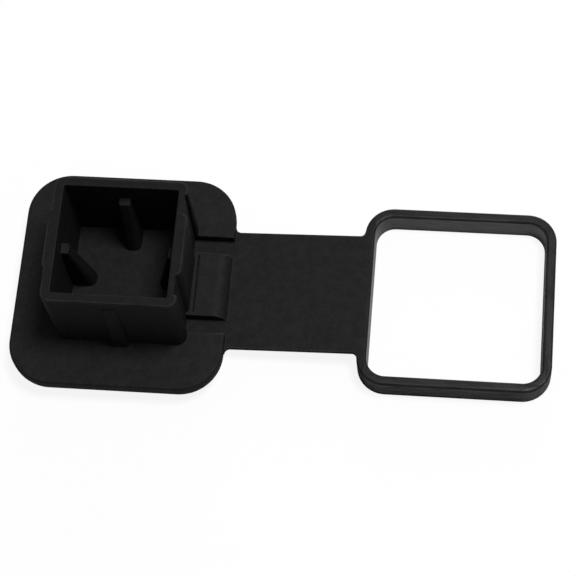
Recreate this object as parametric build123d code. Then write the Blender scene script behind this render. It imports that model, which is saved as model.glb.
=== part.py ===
from build123d import *
import os

# A push-in rubber cover for a square towing receiver, moulded in one piece.
# The plate lies on its outer face at z = 0, the plug stands up over the origin,
# and the strap and its ring run out along +X. All sizes are in mm.

# the square tube that the cover closes, inside and outside
receiverBore = 50.8
tubeOutside = 63.5

# plate that closes the mouth of the tube, a little longer on the side away from the strap
plateLength = 79.2
plateWidth = 84.0
plateThick = 12.0
plateCorner = 16.0
plateShift = -2.2
seatEdgeRound = 0.8
outerEdgeRound = 8.5

# two grooves with a pad between them, on the side the strap leaves; the pad's end rolls off
padWidth = 25.2
groovesSpread = 38.4
grooveDepth = 4.0
padEndRound = 5.0

# plug walls: the two ends lean in towards the foot, the two sides lean out a little
plugHeight = 36.0
bodyGap = 1.0
bodyReach = receiverBore / 2 - bodyGap
endLean = 0.5
sideLean = 0.3
bodyCorner = 3.5
rimBevel = 0.5

# hollow of the plug, its floor level with the seat
wallThick = 3.5
mouthReach = bodyReach - wallThick
wellLean = 0.15
wellCorner = 0.8

# the wall over the grooves stands back between two corner posts, down to the grooves' floor
setBack = 1.3
setBackLean = 0.7
postRound = 0.9

# thin crease in the plate between the pad and a ledge at the panel's foot
creaseLedge = 1.1
creaseWidth = 0.6
creaseDepth = 1.2
creaseMargin = 1.2

# panels on the plug's two ends, widest at the rim, where they just pass the bore
panelGap = 0.2
panelReach = receiverBore / 2 - panelGap
panelWidth = 24.0
panelCorner = 2.2
panelLean = 1.6
panelDepth = 4.0

# narrow ribs on the plug's two sides, which squeeze into the bore at their foot
ribHeight = 31.0
ribSqueeze = 1.3
ribFootReach = receiverBore / 2 + ribSqueeze
ribTopReach = 25.0
ribFootWidth = 6.0
ribTopWidth = 5.0
ribRound = 0.8

# four fins inside the plug, one on the middle of each wall
finHeight = 27.0
finFootReach = 11.8
finFootWidth = 6.4
finFootCorner = 2.8
finTopReach = 18.1
finTopWidth = 4.0
finTopCorner = 0.6

# strap, which climbs from the grooves' floor to the ring's top
strapWidth = 46.2
strapThick = 2.0
plateFlare = 2.0
ringFlare = 1.8

# ring that slips over the outside of the tube
ringNip = 0.3
ringLength = tubeOutside
ringWidth = tubeOutside - 2 * ringNip
ringDraft = 0.35
ringWall = 3.6
ringHeight = 10.3
ringHoleCorner = 7.0
ringEdgeRound = 0.9
ringCentre = 121.4

# how far one shape runs into the next where they join, and how near an edge is picked
bury = 1.5
near = 0.005

seat = plateThick
grooveFloor = seat - grooveDepth
plateEnd = plateShift + plateLength / 2
plugTop = seat + plugHeight
ribTop = seat + ribHeight
ringStart = ringCentre - ringLength / 2 - ringWall
setBackReach = bodyReach - setBack
setBackFoot = setBackReach - setBackLean
wallMiddle = (mouthReach + setBackFoot) / 2
panelFootReach = panelReach - panelLean


def box(lowX, highX, lowY, highY, lowZ, highZ):
    size = Box(highX - lowX, highY - lowY, highZ - lowZ)
    return Pos((lowX + highX) / 2, (lowY + highY) / 2, (lowZ + highZ) / 2) * size


def stripe(lowX, highX, halfWidth):
    return Pos((lowX + highX) / 2, 0) * Rectangle(highX - lowX, 2 * halfWidth)


def tapered(low, lowZ, high, highZ):
    # block between two rectangles, each given as least x, greatest x and half its width
    lowStart, lowEnd, lowHalf = low
    highStart, highEnd, highHalf = high
    block = Wedge(
        lowEnd - lowStart, highZ - lowZ, 2 * lowHalf, highStart - lowStart,
        lowHalf - highHalf, highEnd - lowStart, lowHalf + highHalf, align=None)
    return Pos(lowStart, lowHalf, lowZ) * Rot(90, 0, 0) * block


def between(shape, low, high):
    # edges that run from one height to the other, or lie flat where the two are the same
    def fits(edge):
        extent = edge.bounding_box()
        return abs(extent.min.Z - low) < near and abs(extent.max.Z - high) < near
    return shape.edges().filter_by(fits)


def outer(edges, count):
    # the given number of edges that lie furthest out along X
    return edges.sort_by(Axis.X)[-count:]


# plate
plate = extrude(RectangleRounded(plateLength, plateWidth, plateCorner), plateThick)
plate = fillet(between(plate, 0, 0), outerEdgeRound)
plate = fillet(between(plate, plateThick, plateThick), seatEdgeRound)
plate = Pos(plateShift, 0, 0) * plate
for side in (-1, 1):
    nearY, farY = sorted((side * padWidth / 2, side * groovesSpread / 2))
    plate -= box(setBackFoot, plateEnd + bury, nearY, farY, grooveFloor, seat + bury)
creaseStart = panelFootReach + creaseLedge
creaseEnd = creaseStart + creaseWidth
creaseHalf = padWidth / 2 - creaseMargin
plate -= box(creaseStart, creaseEnd, -creaseHalf, creaseHalf, seat - creaseDepth, seat + bury)

# round end of the pad
padHalf = padWidth / 2
roundStart = plateEnd - padEndRound
roundLow = seat - padEndRound
padRound = box(roundStart, plateEnd + bury, -padHalf, padHalf, roundLow, seat + bury)
padRound -= Pos(roundStart, 0, roundLow) * Rot(90, 0, 0) * Cylinder(padEndRound, padWidth + bury)
plate -= padRound

# plug walls with the part that stands back, rim and hollow
footEnd = bodyReach - endLean
foot = (-footEnd, footEnd, bodyReach + sideLean)
plug = tapered(foot, seat, (-bodyReach, bodyReach, bodyReach), plugTop)
plug = fillet(between(plug, seat, plugTop), bodyCorner)
beyond = bodyReach + bury
grooveHalf = groovesSpread / 2
plug -= tapered((setBackFoot, beyond, grooveHalf), seat, (setBackReach, beyond, grooveHalf), plugTop)
steps = between(plug, seat, plugTop).filter_by(lambda e: abs(abs(e.center().Y) - grooveHalf) < near)
plug = fillet(outer(steps, 2), postRound)
plug = chamfer(between(plug, plugTop, plugTop), rimBevel)
wellFoot = mouthReach - wellLean
well = tapered((-wellFoot, wellFoot, wellFoot), seat, (-mouthReach, mouthReach, mouthReach), plugTop)
well = fillet(between(well, seat, plugTop), wellCorner)
plug -= well

# panels on the two ends, which start inside the wall
panelStart = panelReach - panelDepth
panelFoot = (panelStart, panelFootReach, panelWidth / 2)
panel = tapered(panelFoot, seat, (panelStart, panelReach, panelWidth / 2), plugTop)
panel = fillet(outer(between(panel, seat, plugTop), 2), panelCorner)
panel = chamfer(outer(between(panel, plugTop, plugTop), 3), rimBevel)
for turn in (0, 180):
    plug += Rot(0, 0, turn) * panel

# ribs on the two sides
ribStart = bodyReach - wallThick / 2
ribFoot = (ribStart, ribFootReach, ribFootWidth / 2)
rib = tapered(ribFoot, seat, (ribStart, ribTopReach, ribTopWidth / 2), ribTop)
rib = fillet(outer(between(rib, seat, ribTop), 2), ribRound)
for turn in (90, 270):
    plug += Rot(0, 0, turn) * rib

# fins inside
finFoot = RectangleRounded(wallMiddle - finFootReach, finFootWidth, finFootCorner)
finFoot = Pos((finFootReach + wallMiddle) / 2, 0) * finFoot
finTop = RectangleRounded(wallMiddle - finTopReach, finTopWidth, finTopCorner)
finTop = Pos((finTopReach + wallMiddle) / 2, 0) * finTop
fin = loft([Pos(0, 0, seat) * finFoot, Pos(0, 0, seat + finHeight) * finTop])
fin += Pos(0, 0, seat - bury) * extrude(finFoot, bury)
for turn in (0, 90, 180, 270):
    plug += Rot(0, 0, turn) * fin

# strap: its outline from above, cut to its climb from the side
plan = stripe(plateEnd - bury, ringStart + bury, strapWidth / 2)
for edgeX, flare, way in ((plateEnd, plateFlare, 1), (ringStart, ringFlare, -1)):
    nearX, farX = sorted((edgeX - way * bury, edgeX + way * flare))
    plan += stripe(nearX, farX, strapWidth / 2 + flare)
    for side in (-1, 1):
        plan -= Pos(edgeX + way * flare, side * (strapWidth / 2 + flare)) * Circle(flare)
climb = Polygon(
    (plateEnd - bury, grooveFloor), (plateEnd, grooveFloor), (ringStart, ringHeight),
    (ringStart + bury, ringHeight), (ringStart + bury, ringHeight - strapThick),
    (ringStart, ringHeight - strapThick), (plateEnd, grooveFloor - strapThick),
    (plateEnd - bury, grooveFloor - strapThick), align=None)
strap = extrude(plan, seat) & extrude(Plane.XZ * climb, strapWidth, both=True)

# ring
ring = RectangleRounded(ringLength + 2 * ringWall, ringWidth + 2 * ringWall, ringHoleCorner + ringWall)
ring = extrude(ring, ringHeight)
halfLength, halfWidth = ringLength / 2, ringWidth / 2
lowHole = (ringDraft - halfLength, halfLength - ringDraft, halfWidth - ringDraft)
hole = tapered(lowHole, 0, (-halfLength, halfLength, halfWidth), ringHeight)
ring -= fillet(between(hole, 0, ringHeight), ringHoleCorner)
ring = fillet(between(ring, ringHeight, ringHeight), ringEdgeRound)

cover = plate + plug + strap + Pos(ringCentre, 0, 0) * ring
os.makedirs("parts", exist_ok=True)
export_step(cover, "parts/receiver_cover.step")
print("size", cover.bounding_box().size, "valid", cover.is_valid, "solids", len(cover.solids()))
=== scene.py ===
import math

import bmesh
import bpy
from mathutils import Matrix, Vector

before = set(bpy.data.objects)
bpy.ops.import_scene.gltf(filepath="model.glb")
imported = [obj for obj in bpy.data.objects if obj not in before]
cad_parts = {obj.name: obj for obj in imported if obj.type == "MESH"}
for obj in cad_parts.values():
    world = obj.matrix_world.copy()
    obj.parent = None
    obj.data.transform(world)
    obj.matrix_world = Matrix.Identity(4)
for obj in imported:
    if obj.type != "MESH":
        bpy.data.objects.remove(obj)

scene = bpy.context.scene
scene.view_settings.view_transform = "Standard"
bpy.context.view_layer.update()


def linear(hexCode):
    # a colour written as sRGB hex, as the linear values that Blender's sockets take
    parts = [int(hexCode[i:i + 2], 16) / 255 for i in (1, 3, 5)]
    return [c / 12.92 if c <= 0.04045 else ((c + 0.055) / 1.055) ** 2.4 for c in parts] + [1.0]


def newMaterial(name):
    material = bpy.data.materials.new(name)
    material.use_nodes = True
    material.node_tree.nodes.clear()
    return material


def addNode(tree, kind, settings={}, links={}):
    # one node with its settings; each input is given a value, a socket that feeds it,
    # or a node whose first output feeds it
    node = tree.nodes.new(kind)
    for name, value in settings.items():
        setattr(node, name, value)
    for name, value in links.items():
        if isinstance(value, bpy.types.Node):
            value = value.outputs[0]
        if isinstance(value, bpy.types.NodeSocket):
            tree.links.new(value, node.inputs[name])
        else:
            node.inputs[name].default_value = value
    return node


# moulded rubber: black and carbon-filled, so it is dull and faintly mottled all over, and its
# edges carry a painted highlight, most of all round the plug's rim; the ring looks
# smoother than the rest in the photograph, with some gloss and fine streaks along its bars, whose paler
# tone is partly painted sheen
rubber = {
    "darkColour": "#121212",
    "paleColour": "#1b1b1b",
    "mottleSizeMm": 3.5,
    "mottleDetail": 5.0,
    "mottleRoughness": 0.9,
    "mottleRange": (0.41, 0.59),
    "pebbleSizeMm": 0.7,           # a mould's pebble is nearer 0.1 mm, drawn coarser so that it shows
    "pebbleDepthMm": 0.02,
    "roughness": 0.65,
    "specular": 0.12,
    "ringFromMm": (88.5, 90.5),    # the ring's finish comes in over its strap-side bar
    "ringStreakSheenColour": "#2a2a2a",       # on the streaks, which are a little paler; partly painted sheen
    "ringRoughness": (0.5, 0.28),  # between the streaks and on them
    "streakWidthMm": 1.2,
    "streakDetail": 3.0,
    "streakRoughness": 0.7,
    "streakRange": (0.38, 0.62),
    "streakStretch": 0.12,         # how fast a streak changes along the ring, against across it
    "holeCentreMm": (121.4, 0.0, 0.0),
    "holeHalfMm": (32.0, 31.7, 9.6),
    "holeCoat": 0.7,
    "holeCoatRoughness": 0.25,
    "edgeRoundMm": 0.7,
    # the paler grey of the painted highlight on the edges
    "edgeHighlightColour": "#484848",
    "edgeLean": 0.125,             # how far the rounded normal parts from the flat one on an edge
    "nookPower": 4.0,
    "rimShade": "#d0d0d0",         # the rim's top is a shade darker than the plate in the photograph
    "rimFromMm": 47.2,
    "rimInsideMm": 23.0,
    "outerFromMm": 34.0,
    "outerHighlight": 0.7,              # painted highlight on the plate's and the ring's edges; the rim's is 1
    "leastHighlight": 0.15,
    "patchSizeMm": 14.0,
    "patchRange": (0.3, 0.6),
}


def makeRubber(look):
    material = newMaterial("moulded_rubber")
    tree = material.node_tree
    place = addNode(tree, "ShaderNodeTexCoord").outputs["Object"]
    x, y, z = addNode(tree, "ShaderNodeSeparateXYZ", {}, {0: place}).outputs

    mottle = addNode(tree, "ShaderNodeTexNoise", {}, {
        "Vector": place, "Scale": 1000 / look["mottleSizeMm"], "Detail": look["mottleDetail"],
        "Roughness": look["mottleRoughness"]})
    mottle = addNode(tree, "ShaderNodeMapRange", {}, {
        "Value": mottle, "From Min": look["mottleRange"][0], "From Max": look["mottleRange"][1]})
    tint = addNode(tree, "ShaderNodeMix", {"data_type": "RGBA"}, {
        "Factor": mottle, 6: linear(look["darkColour"]), 7: linear(look["paleColour"])})

    # streaks, which run along the four bars of the ring; their paler tone is partly painted sheen
    onRing = addNode(tree, "ShaderNodeMapRange", {}, {
        "Value": x, "From Min": look["ringFromMm"][0] / 1000, "From Max": look["ringFromMm"][1] / 1000})
    reach = addNode(tree, "ShaderNodeVectorMath", {"operation": "SUBTRACT"}, {
        0: place, 1: [c / 1000 for c in look["holeCentreMm"]]})
    reach = addNode(tree, "ShaderNodeVectorMath", {"operation": "ABSOLUTE"}, {0: reach})
    reachX, reachY, reachZ = addNode(tree, "ShaderNodeSeparateXYZ", {}, {0: reach}).outputs
    across = addNode(tree, "ShaderNodeMath", {"operation": "MAXIMUM"}, {0: reachX, 1: reachY})
    along = addNode(tree, "ShaderNodeMath", {"operation": "ADD"}, {0: x, 1: y})
    along = addNode(tree, "ShaderNodeMath", {"operation": "MULTIPLY"}, {
        0: along, 1: look["streakStretch"]})
    streak = addNode(tree, "ShaderNodeCombineXYZ", {}, {0: across, 1: z, 2: along})
    streak = addNode(tree, "ShaderNodeTexNoise", {}, {
        "Vector": streak, "Scale": 1000 / look["streakWidthMm"], "Detail": look["streakDetail"],
        "Roughness": look["streakRoughness"]})
    streak = addNode(tree, "ShaderNodeMapRange", {}, {
        "Value": streak, "From Min": look["streakRange"][0], "From Max": look["streakRange"][1]})
    streakSheen = addNode(tree, "ShaderNodeMath", {"operation": "MULTIPLY"}, {0: onRing, 1: streak})
    tint = addNode(tree, "ShaderNodeMix", {"data_type": "RGBA"}, {
        "Factor": streakSheen, 6: tint.outputs[2], 7: linear(look["ringStreakSheenColour"])})

    # the top of the plug's rim
    high = addNode(tree, "ShaderNodeMath", {"operation": "GREATER_THAN"}, {
        0: z, 1: look["rimFromMm"] / 1000})
    tint = addNode(tree, "ShaderNodeMix", {"data_type": "RGBA", "blend_type": "MULTIPLY"}, {
        "Factor": high, 6: tint.outputs[2], 7: linear(look["rimShade"])})

    # painted edge highlight: where the rounded normal parts from the flat one, but not in a nook
    rounded = addNode(tree, "ShaderNodeBevel", {"samples": 8}, {
        "Radius": look["edgeRoundMm"] / 1000})
    flat = addNode(tree, "ShaderNodeNewGeometry").outputs["True Normal"]
    lean = addNode(tree, "ShaderNodeVectorMath", {"operation": "DOT_PRODUCT"}, {
        0: rounded, 1: flat})
    edge = addNode(tree, "ShaderNodeMapRange", {}, {
        "Value": lean.outputs["Value"], "From Min": 1.0, "From Max": 1 - look["edgeLean"]})
    openness = addNode(tree, "ShaderNodeAmbientOcclusion", {"samples": 4}, {
        "Distance": 2 * look["edgeRoundMm"] / 1000})
    openness = addNode(tree, "ShaderNodeMath", {"operation": "POWER"}, {
        0: openness.outputs["AO"], 1: look["nookPower"]})

    # the painted highlight is patchy, strongest round the rim and weakest in the middle of the plate
    outX = addNode(tree, "ShaderNodeMath", {"operation": "ABSOLUTE"}, {0: x})
    outY = addNode(tree, "ShaderNodeMath", {"operation": "ABSOLUTE"}, {0: y})
    out = addNode(tree, "ShaderNodeMath", {"operation": "MAXIMUM"}, {0: outX, 1: outY})
    onRim = addNode(tree, "ShaderNodeMath", {"operation": "GREATER_THAN"}, {
        0: out, 1: look["rimInsideMm"] / 1000})
    onRim = addNode(tree, "ShaderNodeMath", {"operation": "MULTIPLY"}, {0: onRim, 1: high})
    onOuter = addNode(tree, "ShaderNodeMath", {"operation": "GREATER_THAN"}, {
        0: out, 1: look["outerFromMm"] / 1000})
    onOuter = addNode(tree, "ShaderNodeMath", {"operation": "MULTIPLY"}, {
        0: onOuter, 1: look["outerHighlight"]})
    highlightWeight = addNode(tree, "ShaderNodeMath", {"operation": "MAXIMUM"}, {0: onRim, 1: onOuter})
    highlightWeight = addNode(tree, "ShaderNodeMath", {"operation": "MAXIMUM"}, {0: highlightWeight, 1: look["leastHighlight"]})
    patches = addNode(tree, "ShaderNodeTexNoise", {}, {
        "Vector": place, "Scale": 1000 / look["patchSizeMm"]})
    patches = addNode(tree, "ShaderNodeMapRange", {}, {
        "Value": patches, "From Min": look["patchRange"][0], "From Max": look["patchRange"][1],
        "To Min": look["leastHighlight"]})
    for share in (openness, highlightWeight, patches):
        edge = addNode(tree, "ShaderNodeMath", {"operation": "MULTIPLY"}, {0: edge, 1: share})
    # painted highlight: the edges are mixed toward a paler grey
    tint = addNode(tree, "ShaderNodeMix", {"data_type": "RGBA"}, {
        "Factor": edge, 6: tint.outputs[2], 7: linear(look["edgeHighlightColour"])})

    pebble = addNode(tree, "ShaderNodeTexNoise", {}, {
        "Vector": place, "Scale": 1000 / look["pebbleSizeMm"]})
    bump = addNode(tree, "ShaderNodeBump", {}, {
        "Height": pebble, "Distance": look["pebbleDepthMm"] / 1000, "Strength": 1.0,
        "Normal": rounded})

    # finish: smoother on the ring's streaks, glossy in its hole
    finish = addNode(tree, "ShaderNodeMapRange", {}, {
        "Value": streak, "To Min": look["ringRoughness"][0], "To Max": look["ringRoughness"][1]})
    finish = addNode(tree, "ShaderNodeMapRange", {}, {
        "Value": onRing, "To Min": look["roughness"], "To Max": finish})
    coat = look["holeCoat"]
    for distance, half in zip((reachX, reachY, reachZ), look["holeHalfMm"]):
        inHole = addNode(tree, "ShaderNodeMath", {"operation": "LESS_THAN"}, {
            0: distance, 1: half / 1000})
        coat = addNode(tree, "ShaderNodeMath", {"operation": "MULTIPLY"}, {0: inHole, 1: coat})

    skin = addNode(tree, "ShaderNodeBsdfPrincipled", {}, {
        "Base Color": tint.outputs[2], "Roughness": finish, "Specular IOR Level": look["specular"],
        "Coat Weight": coat, "Coat Roughness": look["holeCoatRoughness"], "Normal": bump})
    addNode(tree, "ShaderNodeOutputMaterial", {}, {"Surface": skin})
    return material


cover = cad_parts["receiver_cover"]
cover.data.materials.clear()
cover.data.materials.append(makeRubber(rubber))
print("cover dressed")


# camera, worked out with the cover's sizes from the photograph's edges
view = {
    "placeMm": (131.46, -277.63, 687.38),
    "turnDeg": (22.6668, 4.1175, 4.8235),
    "lensMm": 124.627,
    "sensorMm": 36.0,
}
cameraData = bpy.data.cameras.new("camera")
cameraData.lens = view["lensMm"]
cameraData.sensor_width = view["sensorMm"]
camera = bpy.data.objects.new("camera", cameraData)
camera.location = [c / 1000 for c in view["placeMm"]]
camera.rotation_euler = [math.radians(a) for a in view["turnDeg"]]
scene.collection.objects.link(camera)
scene.camera = camera
print("camera placed")


# floor: a white sheet that the cover lies on, in a white room; what it throws back on the
# cover is kept lower, and most of what the camera sees of it is plain white
stage = {
    "paperColour": "#f8f8f8",
    "bounceColour": "#b0b0b0",
    "paperRoughness": 0.9,
    "paperSpecular": 0.1,
    "floorSizeMm": 3000.0,
    "floorShadow": 0.12,           # share of the floor's look that is lit; the rest is plain white
    "worldLevel": 0.2,
}


def makeFloor(look):
    mesh = bpy.data.meshes.new("floor")
    sheet = bmesh.new()
    bmesh.ops.create_grid(sheet, x_segments=1, y_segments=1, size=look["floorSizeMm"] / 2000)
    sheet.to_mesh(mesh)
    sheet.free()
    floor = bpy.data.objects.new("floor", mesh)
    scene.collection.objects.link(floor)
    material = newMaterial("floor_paper")
    tree = material.node_tree
    seen = addNode(tree, "ShaderNodeLightPath").outputs["Is Camera Ray"]
    colour = addNode(tree, "ShaderNodeMix", {"data_type": "RGBA"}, {
        "Factor": seen, 6: linear(look["bounceColour"]), 7: linear(look["paperColour"])})
    paper = addNode(tree, "ShaderNodeBsdfPrincipled", {}, {
        "Base Color": colour.outputs[2], "Roughness": look["paperRoughness"],
        "Specular IOR Level": look["paperSpecular"]})
    white = addNode(tree, "ShaderNodeEmission", {}, {"Color": linear("#ffffff"), "Strength": 1.0})
    share = addNode(tree, "ShaderNodeMath", {"operation": "MULTIPLY"}, {
        0: seen, 1: 1 - look["floorShadow"]})
    mixed = addNode(tree, "ShaderNodeMixShader", {}, {0: share, 1: paper, 2: white})
    addNode(tree, "ShaderNodeOutputMaterial", {}, {"Surface": mixed})
    mesh.materials.append(material)


def makeWorld(look):
    world = bpy.data.worlds.new("room")
    world.use_nodes = True
    tree = world.node_tree
    tree.nodes.clear()
    seen = addNode(tree, "ShaderNodeLightPath").outputs["Is Camera Ray"]
    level = addNode(tree, "ShaderNodeMix", {"data_type": "FLOAT"}, {
        0: seen, 2: look["worldLevel"], 3: 1.0})
    glow = addNode(tree, "ShaderNodeBackground", {}, {"Color": linear("#ffffff"), "Strength": level})
    addNode(tree, "ShaderNodeOutputWorld", {}, {"Surface": glow})
    scene.world = world


makeFloor(stage)
makeWorld(stage)
print("floor and room made")


# lamps: a softbox nearly straight above, a little behind and to the right, and a weak low one
# from behind, which lightens the walls that face away from the camera a little
softbox = {
    "placeMm": (580.0, 160.0, 1900.0),
    "aimMm": (50.0, 0.0, 0.0),
    "sizeMm": 600.0,
    "watts": 32.5,
}
fill = {
    "placeMm": (100.0, 1600.0, 400.0),
    "aimMm": (50.0, 0.0, 0.0),
    "sizeMm": 900.0,
    "watts": 9.0,
}


def makeLamp(name, look):
    lamp = bpy.data.lights.new(name, "AREA")
    lamp.shape = "DISK"
    lamp.size = look["sizeMm"] / 1000
    lamp.energy = look["watts"]
    lampObject = bpy.data.objects.new(name, lamp)
    lampObject.location = Vector(look["placeMm"]) / 1000
    away = Vector(look["placeMm"]) - Vector(look["aimMm"])
    lampObject.rotation_euler = away.to_track_quat("Z", "Y").to_euler()
    scene.collection.objects.link(lampObject)


makeLamp("softbox", softbox)
makeLamp("fill", fill)
print("lamps made")
